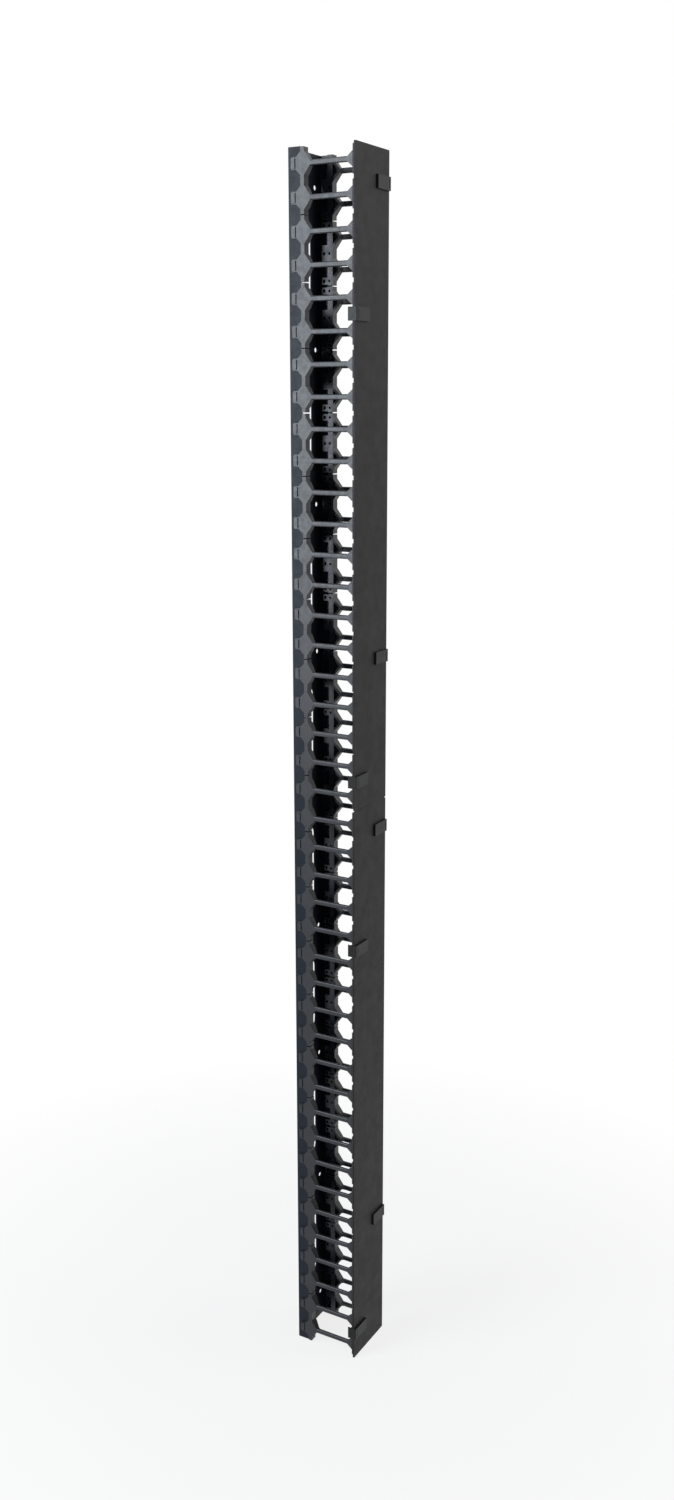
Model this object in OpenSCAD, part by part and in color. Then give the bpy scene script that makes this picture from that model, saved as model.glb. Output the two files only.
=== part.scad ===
// Vertical cable manager for a 42U rack.
// A steel rear channel carries two rows of moulded finger combs, and two covers
// snap over the finger ends with clips that also act as hinges.
// Axes: X across, -Y towards the covers, +Z up. The origin is the middle of the
// channel's rear face, which lies against the rack.
// All sizes are in millimetres.

/* [Rack grid] */
// Height of one rack unit, and so of one finger space
rack_unit = 44.45; // [42:0.05:48]
// Rack units that the cable manager spans
height_units = 42; // [28:2:46]

/* [Rear channel] */
// Thickness of the channel's sheet steel
sheet_t = 1.5; // [1:0.1:2]
// Depth of the side flanges, from the rear face
flange_d = 20; // [19:0.5:21]
// Rack units between two rows of mounting holes
mount_pitch_units = 5; // [5:1:7]
// Rack units from the top to the first row of mounting holes
mount_first_units = 1; // [1:1:2]
// Diameter of a mounting hole
mount_hole_d = 7; // [4:0.5:9]
// Distance between the two columns of mounting holes
mount_hole_spacing = 52; // [46:1:58]
// Width of a cable pass-through slot
pass_slot_w = 27; // [15:1:32]
// Length of a cable pass-through slot
pass_slot_l = 118; // [60:1:160]

/* [Finger combs] */
// Width across the outer faces of the two comb rows
combs_w = 90.4; // [84:0.2:92]
// Distance from the rear face to the front of the finger ends
comb_reach = 105.1; // [90:0.5:140]
// Depth of the spine, across the width of the manager
spine_w = 12; // [9:0.5:15]
// Thickness of the spine's outer leaf
leaf_t = 2; // [1.5:0.1:2.5]
// Distance from the rear face to the rear edge of the tabs
tab_rear = 5.9; // [4:0.1:7]
// Height of a tab at its rear edge
tab_h = 16.75; // [14:0.25:19]
// Distance from the rear face to the inner web of the spine
web_rear = 17.5; // [16:0.25:18.5]
// Distance from the rear face to the finger opening
opening_rear = 26.1; // [25:0.1:30]
// Height of the straight rear edge of a finger opening
opening_flat_h = 13; // [8:0.5:18]
// Length of the rear chamfers of a finger opening
opening_chamfer_d = 10.1; // [6:0.1:14]
// Thickness of the web that rims the rear of an opening
rim_t = 3; // [2:0.1:4]
// Height of a finger
finger_h = 4.8; // [3.5:0.1:7]
// Width of a finger, across the width of the manager
finger_w = 5; // [4:0.1:7]
// Width of the core groove in a finger's inner face
finger_groove_h = 2; // [1:0.1:2.4]
// Length of the flare where a finger meets its end
flare_d = 8.6; // [5:0.1:12]
// Height of the flare at the finger's end
flare_h = 20; // [12:0.5:24]
// Gap between two comb modules
module_gap = 1.6; // [0.6:0.1:2]
// Diameter of a core hole in the inner pads
core_hole_d = 3.6; // [2:0.1:4.5]

/* [Finger ends] */
// Height of a finger end
end_h = 38; // [34:0.5:40]
// Width of a finger end, across the width of the manager
end_w = 8; // [7:0.1:9]
// Thickness of a finger end's plate
end_t = 2; // [1.6:0.1:2.1]
// Diameter of the bead along the outer edge, which the clips turn on
bead_d = 3.1; // [2.8:0.1:3.4]

/* [Covers] */
// Width of a cover
cover_w = 98; // [97:0.2:99]
// Thickness of a cover
cover_t = 2.2; // [1.6:0.1:3]
// Gap between the two covers
cover_gap = 1; // [0.5:0.1:2]
// Gap between the finger ends and the back of the covers
cover_back_gap = 1.5; // [1:0.1:2]
// Radius of the covers' corners
cover_corner_r = 2; // [0.5:0.1:4]
// Rack units from a cover's end to its nearest clip
clip_near_units = 1; // [1:1:2]
// Rack units from a cover's end to the first clip on its other edge
clip_far_units = 5; // [4:1:6]

/* [Clips] */
// Width of a clip on the cover's face
clip_w = 37.5; // [28:0.5:40]
// Height of a clip
clip_h = 18.5; // [15:0.5:20]
// Thickness of a clip on the cover's face
clip_t = 3.2; // [2.4:0.1:4]
// Thickness of a clip's side wall
clip_side_t = 2; // [1.6:0.1:2.2]
// Distance that a clip's side wall reaches behind the finger ends
clip_hook_d = 4.9; // [3:0.1:5.5]
// Radial clearance between a bead and its socket
socket_clearance = 0.07; // [0.03:0.01:0.1]
// Diameter of the stake that holds a clip on its cover
stake_d = 4; // [3:0.1:6]
// Diameter of the stake's head, behind the cover
stake_head_d = 7; // [6:0.1:10]

/* [Hidden] */
// Clearances between pieces that are pushed together
fit_gap = 0.1;
// Clearances between edges that only need to miss each other
edge_gap = 0.3;
// How far a cut runs past the faces that it cuts
over = 1;
$fn = 48;

// Heights
height = height_units * rack_unit;
top_z = height / 2;
combs_per_side = floor(height_units / 2);
cover_units = height_units / 2;
comb_h = 2 * rack_unit;

// Depths, measured forwards from the rear face
end_back = comb_reach - bead_d;
bead_depth = comb_reach - bead_d / 2;
cover_back = comb_reach + cover_back_gap;
cover_face = cover_back + cover_t;
depth = cover_face + clip_t;

// Places across the width, measured inwards from a comb's outer face
flange_in = leaf_t + sheet_t;
bead_in = bead_d / 2;
channel_w = combs_w - 2 * leaf_t;

// Finger openings and the cut-outs between the tabs
cutout_to_opening = 5.3;
opening_h = rack_unit - finger_h;
end_opening_h = rack_unit - flare_h;
cutout_front = opening_rear - cutout_to_opening;
cutout_h = rack_unit - tab_h;
cutout_chamfer = (cutout_h - opening_flat_h) / 2;

// Snap barbs on the tabs, and the flange holes that they enter
barb_to_edge = 2.2;
barb_rear = tab_rear + barb_to_edge;
barb_d = 4;
barb_h = 9;
barb_proud = 1;
barb_tip_d = 1;

// Raised grip at the rear of each tab
grip_d = 6;
grip_h = 13.5;
grip_proud = 1.4;

// Inner pads of a comb, which press on the flange's inner face
pad_rear = 8.1;
pad_wall_t = 2;
mid_pad_h = 23;
end_pad_low = 2;
end_pad_high = 11.5;
core_hole_to_opening = 5.6;
core_hole_depth = opening_rear - core_hole_to_opening;
core_hole_floor_t = 2;
pocket_d = 3.6;
pocket_h = 4.6;

// The root gusset, which runs from the spine's depth down to the finger's
gusset_d = 14;
gusset_front = opening_rear + gusset_d;

// Core groove of each finger
groove_rear = gusset_front + 2;
groove_depth = 2.4;

// The clip's socket round the bead, as angles from straight outwards,
// counted positive towards the rear
socket_tip_angle = 36;
socket_front_angle = -138;
socket_inner_w = 3;
key_r = cover_back - bead_depth - fit_gap;
key_gap = 0.2;
clip_corner = 1;
grip_line_in = 5;
grip_line_w = 1;
grip_line_h = 13;
grip_line_depth = 0.8;
stake_in = 5;
stake_head_t = 1.2;

function two_digits(n) = n < 10 ? str("0", n) : str(n);
function comb_name(side, n) = str("finger_comb_", side, "_", two_digits(n));
comb_names = [for (side = ["left", "right"], n = [1:combs_per_side]) comb_name(side, n)];

// Clip heights in rack units down from the top of one cover
right_clip_units = [clip_near_units, cover_units - clip_far_units];
left_clip_units = [clip_far_units, cover_units - clip_near_units];
covers = ["upper", "lower"];
function clip_name(cover, side, n) = str(cover, "_", side, "_clip_", n);
clip_names = [for (cover = covers, side = ["left", "right"], n = [1:2]) clip_name(cover, side, n)];

// Height of the top of a cover
function cover_top(cover) = cover == "upper" ? top_z : top_z - cover_units * rack_unit;
// Height of a clip's middle
function clip_z(cover, side, n) =
    cover_top(cover) - rack_unit * (side == "left" ? left_clip_units[n - 1] : right_clip_units[n - 1]);
// A corner of an outline that has been moved outwards by one, between edges
// whose outward normals are a and b
function mitre(a, b) = (a + b) / (1 + a * b);

// Turns a side view into place on the right: x becomes the distance forwards
// from the rear face, y the height, and z the distance inwards from the
// comb's outer face.
module on_right_side() {
    translate([combs_w / 2, 0, 0]) rotate([90, 0, -90]) children();
}

// The same for either side; the left is the right one's mirror image.
module on_side(side) {
    if (side == "left") mirror([1, 0, 0]) on_right_side() children();
    else on_right_side() children();
}

// Side view of a finger opening about its middle, grown outwards by g at the rear
module opening_outline(g = 0) {
    half = opening_h / 2;
    flat = opening_flat_h / 2;
    rise = half - flat;
    slope = norm([opening_chamfer_d, rise]);
    rear_normal = [-1, 0];
    slope_normal = [-rise, opening_chamfer_d] / slope;
    top_normal = [0, 1];
    rear_corner = [opening_rear, flat] + g * mitre(rear_normal, slope_normal);
    top_corner = [opening_rear + opening_chamfer_d, half] + g * mitre(slope_normal, top_normal);
    flare_corner = [end_back - flare_d, half + g];
    end_corner = [end_back, end_opening_h / 2 + g];
    upper = [rear_corner, top_corner, flare_corner, end_corner];
    lower = [for (i = [3:-1:0]) [upper[i][0], -upper[i][1]]];
    polygon(concat(upper, lower));
}

// Side view of the cut-out between two tabs, open to the rear
module cutout_outline() {
    half = cutout_h / 2;
    flat = opening_flat_h / 2;
    upper = [
        [tab_rear - over, half],
        [cutout_front - cutout_chamfer, half],
        [cutout_front, flat]
    ];
    lower = [for (i = [2:-1:0]) [upper[i][0], -upper[i][1]]];
    polygon(concat(upper, lower));
}

// Repeats for the three openings that a comb meets: half, whole and half
module at_openings() {
    for (k = [0:2]) translate([0, k * rack_unit]) children();
}

// Repeats for the two fingers of a comb
module at_fingers() {
    for (k = [0.5, 1.5]) translate([0, k * rack_unit, 0]) children();
}

// Side view of a whole comb without its finger ends, forwards from a distance
module comb_outline(from) {
    difference() {
        translate([from, module_gap / 2])
            square([end_back + (bead_d - end_t) / 2 - from, comb_h - module_gap]);
        at_openings() opening_outline();
        at_openings() cutout_outline();
        // the space between the flares and the finger ends
        at_openings() translate([end_back - over, -end_opening_h / 2])
            square([bead_d + over, end_opening_h]);
    }
}

// Side view of the web behind the leaf: a straight spine, and a rim round each opening
module web_outline() {
    difference() {
        intersection() {
            translate([web_rear, module_gap / 2])
                square([gusset_front - web_rear, comb_h - module_gap]);
            union() {
                translate([web_rear, 0]) square([opening_rear - web_rear, comb_h]);
                at_openings() opening_outline(rim_t);
            }
        }
        at_openings() opening_outline();
    }
}

// The web, tapered towards the fingers and grooved for the flange's edge
module comb_web() {
    difference() {
        linear_extrude(spine_w) web_outline();
        // groove that takes the front edge of the flange
        translate([web_rear - over, -over, -over])
            cube([flange_d + edge_gap - web_rear + over, comb_h + 2 * over, flange_in + fit_gap + over]);
        // taper from the spine's depth to the finger's
        translate([0, comb_h + over, 0]) rotate([90, 0, 0])
            linear_extrude(comb_h + 2 * over)
                polygon([
                    [opening_rear + rim_t, spine_w],
                    [gusset_front, finger_w],
                    [gusset_front + over, finger_w],
                    [gusset_front + over, spine_w + over],
                    [opening_rear + rim_t, spine_w + over]
                ]);
    }
}

// One inner pad between two heights: walls, face and a bored boss
module pad(low, high, hole_z) {
    inner = flange_in + fit_gap;
    pad_d = web_rear - pad_rear + over;
    difference() {
        union() {
            translate([pad_rear, low, spine_w - pad_wall_t]) cube([pad_d, high - low, pad_wall_t]);
            for (z = [low, high - pad_wall_t])
                translate([pad_rear, z, inner]) cube([pad_d, pad_wall_t, spine_w - inner]);
        }
        translate([pad_rear + pad_wall_t, hole_z - pocket_h / 2, spine_w - pad_wall_t - over])
            cube([pocket_d, pocket_h, pad_wall_t + 2 * over]);
    }
}

// Core holes in the web, bored from the inner face
module core_holes() {
    hole_heights = [
        (end_pad_low + end_pad_high) / 2,
        rack_unit,
        comb_h - (end_pad_low + end_pad_high) / 2
    ];
    for (z = hole_heights)
        translate([core_hole_depth, z, flange_in + core_hole_floor_t]) cylinder(d = core_hole_d, h = spine_w);
}

// The end of one finger, centred on the finger: a plate with a round bead
module finger_end() {
    translate([end_back + (bead_d - end_t) / 2, -end_h / 2, bead_in])
        cube([end_t, end_h, end_w - bead_in]);
    translate([bead_depth, -end_h / 2, bead_in]) rotate([-90, 0, 0]) cylinder(d = bead_d, h = end_h);
}

// Snap barb on the inner face of a tab, and the raised grip on its outer face
module tab_features() {
    barb_top = sheet_t + barb_proud;
    translate([barb_rear, barb_h / 2, leaf_t]) rotate([90, 0, 0]) linear_extrude(barb_h)
        polygon([[0, -over], [barb_d, -over], [barb_d, barb_top], [barb_d - barb_tip_d, barb_top], [0, sheet_t]]);
    translate([tab_rear, -grip_h / 2, -grip_proud]) cube([grip_d, grip_h, grip_proud + leaf_t / 2]);
}

// One comb module, two rack units high, in its side view
module comb_module() {
    difference() {
        union() {
            linear_extrude(leaf_t) comb_outline(tab_rear);
            linear_extrude(finger_w) comb_outline(opening_rear + edge_gap);
            comb_web();
            pad(rack_unit - mid_pad_h / 2, rack_unit + mid_pad_h / 2, rack_unit);
            pad(end_pad_low, end_pad_high, (end_pad_low + end_pad_high) / 2);
            pad(comb_h - end_pad_high, comb_h - end_pad_low, comb_h - (end_pad_low + end_pad_high) / 2);
            at_fingers() finger_end();
            at_fingers() tab_features();
        }
        core_holes();
        // core groove along the inner face of each finger
        at_fingers() translate([groove_rear, -finger_groove_h / 2, finger_w - groove_depth])
            cube([end_back - flare_d - groove_rear, finger_groove_h, groove_depth + over]);
    }
}

module finger_comb(side, n) {
    color("#2b2d31") translate([0, 0, top_z - n * comb_h]) on_side(side) comb_module();
}

// The sheet-steel channel behind the combs
module rear_channel() {
    rows = floor((height_units - 2 * mount_first_units) / mount_pitch_units);
    color("#3a3e44") difference() {
        translate([-channel_w / 2, -flange_d, -height / 2]) cube([channel_w, flange_d, height]);
        translate([-channel_w / 2 + sheet_t, -flange_d - over, -height / 2 - over])
            cube([channel_w - 2 * sheet_t, flange_d - sheet_t + over, height + 2 * over]);
        for (k = [0:rows], s = [-1, 1])
            translate([s * mount_hole_spacing / 2, 0, mount_row_z(k)]) through_wall()
                cylinder(d = mount_hole_d, h = sheet_t + 2 * over);
        for (k = [0:rows - 1])
            translate([0, 0, mount_row_z(k + 0.5)]) through_wall() pass_slot();
        for (k = [0:2 * combs_per_side - 1], side = ["left", "right"])
            translate([0, 0, top_z - (k + 0.5) * rack_unit]) on_side(side) barb_hole();
    }
}

// Height of a row of mounting holes, counted down from the top one
function mount_row_z(row) = top_z - rack_unit * (mount_first_units + row * mount_pitch_units);

// Turns a cutter that starts at height 0 so that it passes forwards through the rear wall
module through_wall() {
    translate([0, over, 0]) rotate([90, 0, 0]) children();
}

// Cutter for one pass-through slot, its long side upright
module pass_slot() {
    straight = pass_slot_l - pass_slot_w;
    for (s = [-1, 1])
        translate([0, s * straight / 2, 0]) cylinder(d = pass_slot_w, h = sheet_t + 2 * over);
    translate([-pass_slot_w / 2, -straight / 2, 0]) cube([pass_slot_w, straight, sheet_t + 2 * over]);
}

// Cutter for the flange hole that one snap barb enters
module barb_hole() {
    translate([barb_rear - edge_gap, -barb_h / 2 - edge_gap, leaf_t - over])
        cube([barb_d + 2 * edge_gap, barb_h + 2 * edge_gap, sheet_t + 2 * over]);
}

// One cover with its notches and stake holes
module cover(name) {
    top = cover_top(name) - (name == "upper" ? 0 : cover_gap / 2);
    bottom = cover_top(name) - cover_units * rack_unit + (name == "upper" ? cover_gap / 2 : 0);
    notch_in = cover_w / 2 - clip_side_t - fit_gap;
    color("#35373b") difference() {
        translate([0, -cover_back, 0]) rotate([90, 0, 0]) linear_extrude(cover_t)
            rounded_sheet(-cover_w / 2, cover_w / 2, bottom, top, cover_corner_r);
        for (side = ["left", "right"], n = [1:2])
            translate([0, 0, clip_z(name, side, n)]) mirror([side == "left" ? 1 : 0, 0, 0]) {
                translate([notch_in, -cover_face - over, -clip_h / 2 - fit_gap])
                    cube([cover_w, cover_t + 2 * over, clip_h + 2 * fit_gap]);
                translate([cover_w / 2 - clip_w + stake_in, -cover_back + over, 0])
                    rotate([90, 0, 0]) cylinder(d = stake_d + 2 * fit_gap, h = cover_t + 2 * over);
            }
    }
}

// A flat sheet between four edges, with round corners
module rounded_sheet(left, right, low, high, r) {
    translate([left + r, low]) square([right - left - 2 * r, high - low]);
    translate([left, low + r]) square([right - left, high - low - 2 * r]);
    for (x = [left + r, right - r], z = [low + r, high - r]) translate([x, z]) circle(r = r);
}

// Plan view of the clip's parts, seen from above, for the right side
module clip_plan() {
    outer = cover_w / 2;
    inner = outer - clip_w;
    face = -depth;
    back = -cover_face;
    hook = -end_back + clip_hook_d;
    // front plate and side wall, with a bevelled outer corner
    polygon([
        [inner, back],
        [inner, face + clip_corner / 2],
        [inner + clip_corner / 2, face],
        [outer - clip_corner, face],
        [outer, face + clip_corner],
        [outer, hook - clip_corner],
        [outer - clip_side_t / 2, hook],
        [outer - clip_side_t, hook],
        [outer - clip_side_t, back]
    ]);
}

// Plan view of the socket, before the bead's bore and the mouth are cut
module socket_plan() {
    bead_x = combs_w / 2 - bead_in;
    front = -cover_back;
    bead_y = -bead_depth;
    outer = cover_w / 2 - clip_side_t / 2;
    translate([bead_x - socket_inner_w, front])
        square([outer - bead_x + socket_inner_w, bead_y + (outer - bead_x) * tan(socket_tip_angle) - front]);
}

// Plan view of the mouth, through which the finger end leaves the socket
module mouth_plan() {
    reach = 20;
    span = 360 + socket_front_angle - socket_tip_angle;
    steps = 6;
    points = [for (i = [0:steps])
        let (a = socket_tip_angle + span * i / steps) reach * [cos(a), sin(a)]];
    polygon(concat([[0, 0]], points));
}

// One clip in place on the right, centred on height 0
module clip_body() {
    bead_x = combs_w / 2 - bead_in;
    bead_y = -bead_depth;
    stake_x = cover_w / 2 - clip_w + stake_in;
    key_h = rack_unit - end_h - 2 * key_gap;
    difference() {
        union() {
            translate([0, 0, -clip_h / 2]) linear_extrude(clip_h) clip_plan();
            translate([0, 0, -clip_h / 2]) linear_extrude(clip_h) difference() {
                socket_plan();
                translate([bead_x, bead_y]) circle(d = bead_d + 2 * socket_clearance);
                translate([bead_x, bead_y]) mouth_plan();
            }
            // key between two finger ends, which carries the cover's weight
            translate([bead_x, bead_y, -key_h / 2]) cylinder(r = key_r, h = key_h);
            // stake through the cover, with its head behind
            translate([stake_x, -cover_back + stake_head_t, 0]) rotate([90, 0, 0]) {
                cylinder(d = stake_head_d, h = stake_head_t);
                cylinder(d = stake_d, h = stake_head_t + cover_t + clip_t / 2);
            }
        }
        // shallow line that marks the spring wall on the face
        translate([cover_w / 2 - grip_line_in - grip_line_w, -depth - over, -grip_line_h / 2])
            cube([grip_line_w, over + grip_line_depth, grip_line_h]);
    }
}

module clip(cover, side, n) {
    color("#3b3d41") translate([0, 0, clip_z(cover, side, n)])
        mirror([side == "left" ? 1 : 0, 0, 0]) clip_body();
}

rear_channel();
cover("upper");  // upper_cover
cover("lower");  // lower_cover
for (c = covers, side = ["left", "right"], n = [1:2])
    clip(c, side, n);
for (side = ["left", "right"], n = [1:combs_per_side])
    finger_comb(side, n);
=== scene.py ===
"""Looks of the vertical cable manager: finishes, round-edged fingers, studio and camera.

Frame: +X to the right as seen from the covers, +Y out of the rear face, +Z up, in metres.
The origin is the middle of the rear channel's flat rear face.
"""
import math

import bmesh
import bpy
from mathutils import Matrix, Vector


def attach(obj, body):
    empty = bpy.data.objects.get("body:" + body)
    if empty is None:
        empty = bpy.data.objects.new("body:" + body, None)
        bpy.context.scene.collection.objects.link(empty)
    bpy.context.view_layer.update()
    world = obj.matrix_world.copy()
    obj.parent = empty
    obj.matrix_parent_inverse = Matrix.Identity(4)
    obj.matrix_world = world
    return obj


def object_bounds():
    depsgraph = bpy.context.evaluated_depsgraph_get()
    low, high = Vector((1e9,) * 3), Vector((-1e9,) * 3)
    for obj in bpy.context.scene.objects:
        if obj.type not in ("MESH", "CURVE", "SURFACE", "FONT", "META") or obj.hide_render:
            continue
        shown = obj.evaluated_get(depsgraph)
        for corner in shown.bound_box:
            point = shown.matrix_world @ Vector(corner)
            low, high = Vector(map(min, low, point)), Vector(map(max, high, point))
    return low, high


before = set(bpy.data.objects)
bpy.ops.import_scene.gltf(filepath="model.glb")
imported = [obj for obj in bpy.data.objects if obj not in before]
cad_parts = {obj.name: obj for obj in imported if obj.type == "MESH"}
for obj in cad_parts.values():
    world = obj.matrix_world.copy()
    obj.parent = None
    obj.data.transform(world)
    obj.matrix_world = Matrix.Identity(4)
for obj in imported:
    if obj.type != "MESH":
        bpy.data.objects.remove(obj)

CAD_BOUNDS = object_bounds()

# Camera, from the real sizes and the place of the fingers
CAMERA_PLACE = Vector((-1.8391, -1.1105, 0.5955))
CAMERA_AZIMUTH = math.radians(60.05)
CAMERA_ELEVATION = math.radians(13.71)
CAMERA_ROLL = math.radians(-0.111)
SENSOR = 36.0
LENS = 34.404
CAMERA_REACH = 50.0

# Sharpest turn that is still shaded as smooth
SHARP_ANGLE = math.radians(28)

# Room: light from all round, and the floor with the object's soft shadow near its foot
ROOM_COLOUR = (0.8, 0.85, 0.92, 1.0)
ROOM_LIGHT = 0.22
WHITE = (1.0, 1.0, 1.0, 1.0)
FLOOR_GAP = 0.001
FLOOR_WIDTH = 12.0
FLOOR_ROUGHNESS = 0.9
FLOOR_CLOUDS = 3.0
FLOOR_DARK = (0.78, 0.78, 0.78)
FLOOR_LIGHT = (0.82, 0.82, 0.82)
SHADOW_REACH = 0.45
SHADOW_WHITE = 0.82

# Lamps: place and target in metres, width and height in metres, power in watts
SIDE_SOFTBOX = {
    "place": (-1.9, 1.15, 0.95), "target": (0, -0.05, 0.6),
    "width": 1.3, "height": 2.2, "power": 60.0, "colour": (0.86, 0.93, 1.0)}
FRONT_SOFTBOX = {
    "place": (1.2, -2.4, 1.6), "target": (0, -0.05, 0.0),
    "width": 1.6, "height": 1.2, "power": 22.0, "colour": (1.0, 0.98, 0.95)}

# Fingers: the straight bars between the spine and the finger ends
RACK_UNIT = 0.04445
LEVELS = 42
COMBS_WIDTH = 0.0904
FINGER_HEIGHT = 0.0076
FINGER_WIDTH = 0.005
FINGER_ROUND = 0.002
FINGER_BACK = 0.0354
FINGER_FRONT = 0.0949
# steps in each quarter turn of a finger's round edges
ROUND_STEPS = 6
# how far the bars stand out of the faces that they cover
SKIN = 0.00003

# Range of the noise that the tints and the gloss are drawn from
NOISE_LOW = 0.3
NOISE_HIGH = 0.7

# Finishes. Scales are per metre, and grain_depth is in metres. dark and light are
# shares of the colour, smooth and rough are the limits of the roughness, and
# shine is how strongly the finish mirrors, where 0.5 is bare plastic.
COMB_FINISH = {
    "colour": (0.011, 0.014, 0.020), "dark": 0.82, "light": 1.2,
    "tint_scale": 55.0, "tint_detail": 4.0, "stretch": (1.0, 1.0, 1.0),
    "gloss_scale": 140.0, "gloss_detail": 5.0, "gloss_roughness": 0.62,
    "smooth": 0.3, "rough": 0.46, "shine": 0.5,
    "grain_scale": 3200.0, "grain_detail": 2.0, "grain": 0.25, "grain_depth": 0.00004}
CLIP_FINISH = {
    **COMB_FINISH, "colour": (0.008, 0.0085, 0.0095), "smooth": 0.34, "rough": 0.48, "shine": 0.24}
# extruded: faint lines along the length over a leather-like grain
COVER_FINISH = {
    "colour": (0.011, 0.0105, 0.011), "dark": 0.9, "light": 1.12,
    "tint_scale": 420.0, "tint_detail": 3.0, "stretch": (1.0, 1.0, 0.02),
    "gloss_scale": 60.0, "gloss_detail": 5.0, "gloss_roughness": 0.6,
    "smooth": 0.46, "rough": 0.58, "shine": 0.2,
    "grain_scale": 1500.0, "grain_detail": 3.0, "grain": 0.35, "grain_depth": 0.00008}
# powder coat: orange peel and a slightly uneven satin gloss
CHANNEL_FINISH = {
    "colour": (0.012, 0.016, 0.024), "dark": 0.85, "light": 1.15,
    "tint_scale": 24.0, "tint_detail": 4.0, "stretch": (1.0, 1.0, 1.0),
    "gloss_scale": 90.0, "gloss_detail": 4.0, "gloss_roughness": 0.55,
    "smooth": 0.36, "rough": 0.5, "shine": 0.16,
    "grain_scale": 900.0, "grain_detail": 2.0, "grain": 0.3, "grain_depth": 0.0001}


# ---------------------------------------------------------------- materials

def new_material(name):
    """A new node material, with its tree and its shader."""
    material = bpy.data.materials.new(name)
    material.use_nodes = True
    tree = material.node_tree
    shader = tree.nodes["Principled BSDF"]
    return material, tree, shader


def add(tree, kind, **inputs):
    """Adds one shader node and sets its unlinked sockets by name."""
    node = tree.nodes.new(kind)
    for name, value in inputs.items():
        node.inputs[name.replace("_", " ")].default_value = value
    return node


def noise(tree, coords, scale, detail=3.0, roughness=0.55, stretch=(1.0, 1.0, 1.0)):
    """Noise in metres of the object's own space, stretched along its axes."""
    mapping = add(tree, "ShaderNodeMapping", Scale=stretch)
    tree.links.new(coords.outputs["Object"], mapping.inputs["Vector"])
    texture = add(tree, "ShaderNodeTexNoise", Scale=scale, Detail=detail, Roughness=roughness)
    tree.links.new(mapping.outputs["Vector"], texture.inputs["Vector"])
    return texture.outputs["Fac"]


def ranged(tree, value, low, high):
    """Maps a noise value to a range."""
    node = add(tree, "ShaderNodeMapRange", From_Min=NOISE_LOW, From_Max=NOISE_HIGH, To_Min=low, To_Max=high)
    tree.links.new(value, node.inputs["Value"])
    return node.outputs["Result"]


def tinted(tree, value, dark, light):
    """Mixes two colours by a noise value."""
    ramp = tree.nodes.new("ShaderNodeValToRGB")
    ramp.color_ramp.elements[0].position = NOISE_LOW
    ramp.color_ramp.elements[0].color = (*dark, 1.0)
    ramp.color_ramp.elements[1].position = NOISE_HIGH
    ramp.color_ramp.elements[1].color = (*light, 1.0)
    tree.links.new(value, ramp.inputs["Fac"])
    return ramp.outputs["Color"]


def bumped(tree, shader, value, strength, distance):
    """Gives the shader a bump from one height value."""
    bump = add(tree, "ShaderNodeBump", Strength=strength, Distance=distance)
    tree.links.new(value, bump.inputs["Height"])
    tree.links.new(bump.outputs["Normal"], shader.inputs["Normal"])


def scaled(colour, factor):
    return tuple(c * factor for c in colour)


def finished(name, finish):
    """A material with a clouded tint, an uneven gloss and a fine grain."""
    material, tree, shader = new_material(name)
    coords = tree.nodes.new("ShaderNodeTexCoord")
    tint = noise(tree, coords, finish["tint_scale"], detail=finish["tint_detail"], stretch=finish["stretch"])
    dark = scaled(finish["colour"], finish["dark"])
    light = scaled(finish["colour"], finish["light"])
    tree.links.new(tinted(tree, tint, dark, light), shader.inputs["Base Color"])
    gloss = noise(
        tree, coords, finish["gloss_scale"], detail=finish["gloss_detail"], roughness=finish["gloss_roughness"])
    tree.links.new(ranged(tree, gloss, finish["smooth"], finish["rough"]), shader.inputs["Roughness"])
    shader.inputs["Specular IOR Level"].default_value = finish["shine"]
    grain = noise(tree, coords, finish["grain_scale"], detail=finish["grain_detail"])
    bumped(tree, shader, grain, finish["grain"], finish["grain_depth"])
    return material


# ---------------------------------------------------------------- object

def finger_section():
    """Corners of a finger's round-edged section, as depth inwards and height."""
    corners = []
    inner = FINGER_WIDTH - FINGER_ROUND
    outer = FINGER_ROUND
    rise = FINGER_HEIGHT / 2 - FINGER_ROUND
    centres = [(inner, rise), (outer, rise), (outer, -rise), (inner, -rise)]
    for quarter, (inwards, height) in enumerate(centres):
        for step in range(ROUND_STEPS + 1):
            angle = math.pi / 2 * (quarter + step / ROUND_STEPS)
            corners.append((inwards + FINGER_ROUND * math.cos(angle), height + FINGER_ROUND * math.sin(angle)))
    return corners


def finger_bars(side, material):
    """The round-edged bars of all fingers of one side, as one piece. side is 1 on the right and -1 on the left."""
    mesh = bmesh.new()
    section = finger_section()
    count = len(section)
    outer_face = COMBS_WIDTH / 2 + SKIN
    for level in range(LEVELS):
        middle = (LEVELS / 2 - level - 0.5) * RACK_UNIT
        rings = []
        for depth in (FINGER_BACK, FINGER_FRONT):
            rings.append([
                mesh.verts.new((side * (outer_face - inwards), -depth, middle + height))
                for inwards, height in section])
        back, front = rings
        for k in range(count):
            after = (k + 1) % count
            mesh.faces.new((back[k], back[after], front[after], front[k])).smooth = True
        mesh.faces.new(back)
        mesh.faces.new(front)
    bmesh.ops.recalc_face_normals(mesh, faces=mesh.faces)
    name = "finger_bars_" + ("right" if side > 0 else "left")
    data = bpy.data.meshes.new(name)
    mesh.to_mesh(data)
    mesh.free()
    data.set_sharp_from_angle(angle=SHARP_ANGLE)
    data.materials.append(material)
    piece = bpy.data.objects.new(name, data)
    bpy.context.scene.collection.objects.link(piece)
    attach(piece, "channel_and_combs")


def dress(nodes, material):
    """Gives CAD nodes a finish."""
    for name in nodes:
        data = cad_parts[name].data
        data.materials.clear()
        data.materials.append(material)


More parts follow.
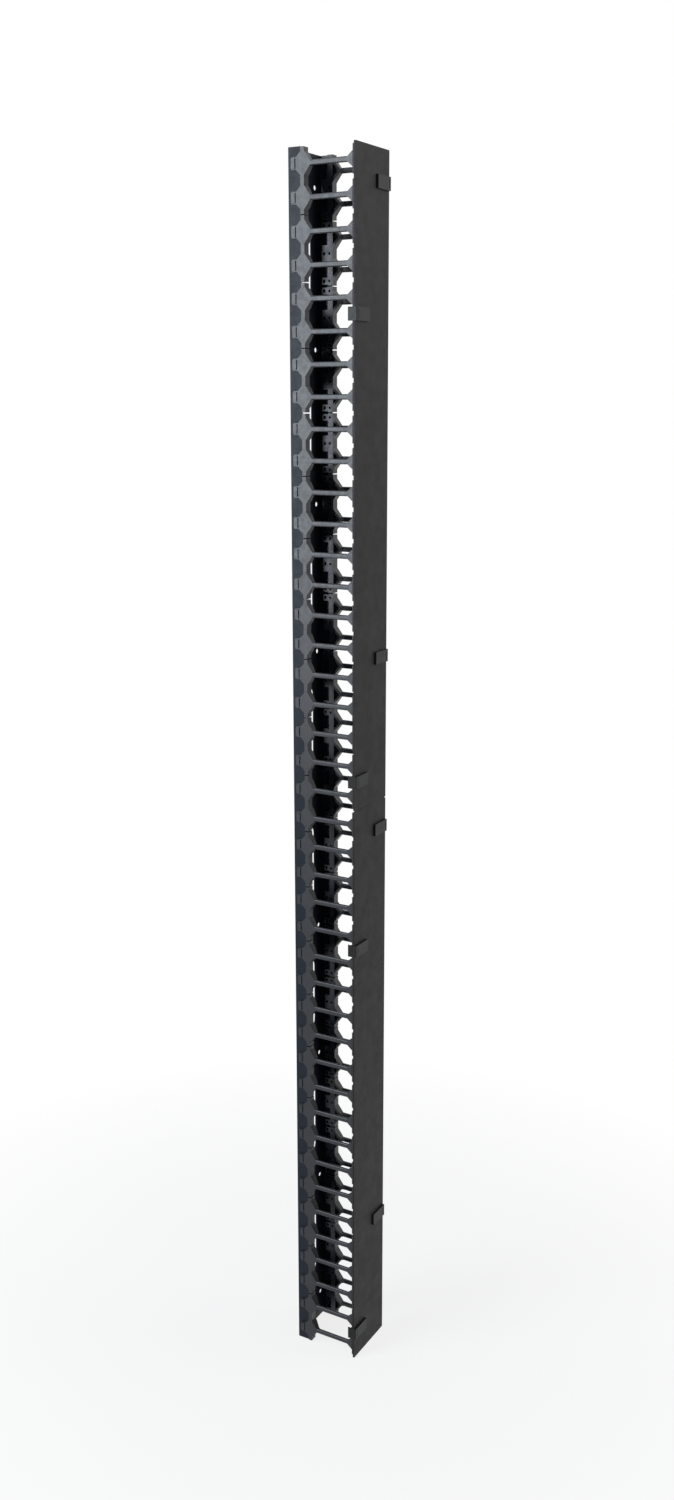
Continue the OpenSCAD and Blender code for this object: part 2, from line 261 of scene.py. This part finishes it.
def dress_all():
    comb = finished("comb_plastic", COMB_FINISH)
    clip = finished("clip_plastic", CLIP_FINISH)
    cover = finished("cover_plastic", COVER_FINISH)
    channel = finished("channel_steel", CHANNEL_FINISH)
    names = sorted(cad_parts)
    dress([name for name in names if name.startswith("finger_comb")], comb)
    for side in (-1, 1):
        finger_bars(side, comb)
    dress([name for name in names if "_clip_" in name], clip)
    dress([name for name in names if name.endswith("_cover")], cover)
    dress(["rear_channel"], channel)


# ---------------------------------------------------------------- studio

def camera():
    """Camera at the photograph's angle."""
    azimuth, elevation, roll = CAMERA_AZIMUTH, CAMERA_ELEVATION, CAMERA_ROLL
    forward = Vector((
        math.sin(azimuth) * math.cos(elevation),
        math.cos(azimuth) * math.cos(elevation),
        -math.sin(elevation)))
    level = Vector((math.cos(azimuth), -math.sin(azimuth), 0.0))
    upright = level.cross(forward)
    right = math.cos(roll) * level + math.sin(roll) * upright
    up = right.cross(forward)
    data = bpy.data.cameras.new("camera")
    data.sensor_fit = "VERTICAL"
    data.sensor_height = SENSOR
    data.lens = LENS
    data.clip_end = CAMERA_REACH
    eye = bpy.data.objects.new("camera", data)
    eye.matrix_world = Matrix.Translation(CAMERA_PLACE) @ Matrix((right, up, -forward)).transposed().to_4x4()
    bpy.context.scene.collection.objects.link(eye)
    bpy.context.scene.camera = eye


def softbox(name, lamp_values):
    """A rectangular lamp that faces a point."""
    place = Vector(lamp_values["place"])
    data = bpy.data.lights.new(name, "AREA")
    data.shape = "RECTANGLE"
    data.size = lamp_values["width"]
    data.size_y = lamp_values["height"]
    data.energy = lamp_values["power"]
    data.color = lamp_values["colour"]
    lamp = bpy.data.objects.new(name, data)
    lamp.location = place
    facing = Vector(lamp_values["target"]) - place
    lamp.rotation_euler = facing.to_track_quat("-Z", "Y").to_euler()
    lamp.visible_camera = False
    bpy.context.scene.collection.objects.link(lamp)


def lights():
    softbox("side_softbox", SIDE_SOFTBOX)
    softbox("front_softbox", FRONT_SOFTBOX)


def seen_directly(tree):
    """One where a ray comes from the camera, a reflection or through glass, and zero elsewhere."""
    paths = tree.nodes.new("ShaderNodeLightPath")
    mirrored = tree.nodes.new("ShaderNodeMath")
    mirrored.operation = "MAXIMUM"
    tree.links.new(paths.outputs["Is Glossy Ray"], mirrored.inputs[0])
    tree.links.new(paths.outputs["Is Transmission Ray"], mirrored.inputs[1])
    either = tree.nodes.new("ShaderNodeMath")
    either.operation = "MAXIMUM"
    tree.links.new(paths.outputs["Is Camera Ray"], either.inputs[0])
    tree.links.new(mirrored.outputs["Value"], either.inputs[1])
    return either.outputs["Value"]


def backdrop():
    """A world that is plain white where it is seen, and a dim grey room as a source of light."""
    world = bpy.data.worlds.new("studio")
    bpy.context.scene.world = world
    world.use_nodes = True
    tree = world.node_tree
    tree.nodes.clear()
    seen = add(tree, "ShaderNodeBackground", Color=WHITE, Strength=1.0)
    room = add(tree, "ShaderNodeBackground", Color=ROOM_COLOUR, Strength=ROOM_LIGHT)
    mix = tree.nodes.new("ShaderNodeMixShader")
    output = tree.nodes.new("ShaderNodeOutputWorld")
    tree.links.new(seen_directly(tree), mix.inputs["Fac"])
    tree.links.new(room.outputs["Background"], mix.inputs[1])
    tree.links.new(seen.outputs["Background"], mix.inputs[2])
    tree.links.new(mix.outputs["Shader"], output.inputs["Surface"])


def floor():
    """A pale floor: white where it is seen, apart from the object's soft shadow close by."""
    z = CAD_BOUNDS[0][2] - FLOOR_GAP
    half = FLOOR_WIDTH / 2
    corners = [(-half, -half, z), (half, -half, z), (half, half, z), (-half, half, z)]
    data = bpy.data.meshes.new("floor")
    data.from_pydata(corners, [], [(0, 1, 2, 3)])
    ground = bpy.data.objects.new("floor", data)
    bpy.context.scene.collection.objects.link(ground)
    material, tree, shader = new_material("floor_paper")
    shader.inputs["Roughness"].default_value = FLOOR_ROUGHNESS
    coords = tree.nodes.new("ShaderNodeTexCoord")
    cloud = noise(tree, coords, FLOOR_CLOUDS)
    tree.links.new(tinted(tree, cloud, FLOOR_DARK, FLOOR_LIGHT), shader.inputs["Base Color"])
    white = add(tree, "ShaderNodeEmission", Color=WHITE, Strength=1.0)
    # the share of white grows with the distance from the object's foot
    away = tree.nodes.new("ShaderNodeVectorMath")
    away.operation = "LENGTH"
    tree.links.new(coords.outputs["Object"], away.inputs[0])
    share = add(
        tree, "ShaderNodeMapRange",
        From_Min=abs(z), From_Max=abs(z) + SHADOW_REACH, To_Min=SHADOW_WHITE, To_Max=1.0)
    tree.links.new(away.outputs["Value"], share.inputs["Value"])
    fac = tree.nodes.new("ShaderNodeMath")
    fac.operation = "MULTIPLY"
    tree.links.new(share.outputs["Result"], fac.inputs[0])
    tree.links.new(seen_directly(tree), fac.inputs[1])
    mix = tree.nodes.new("ShaderNodeMixShader")
    tree.links.new(fac.outputs["Value"], mix.inputs["Fac"])
    tree.links.new(shader.outputs["BSDF"], mix.inputs[1])
    tree.links.new(white.outputs["Emission"], mix.inputs[2])
    tree.links.new(mix.outputs["Shader"], tree.nodes["Material Output"].inputs["Surface"])
    data.materials.append(material)


def studio():
    camera()
    lights()
    backdrop()
    floor()
    bpy.context.scene.view_settings.view_transform = "Standard"


studio()
dress_all()
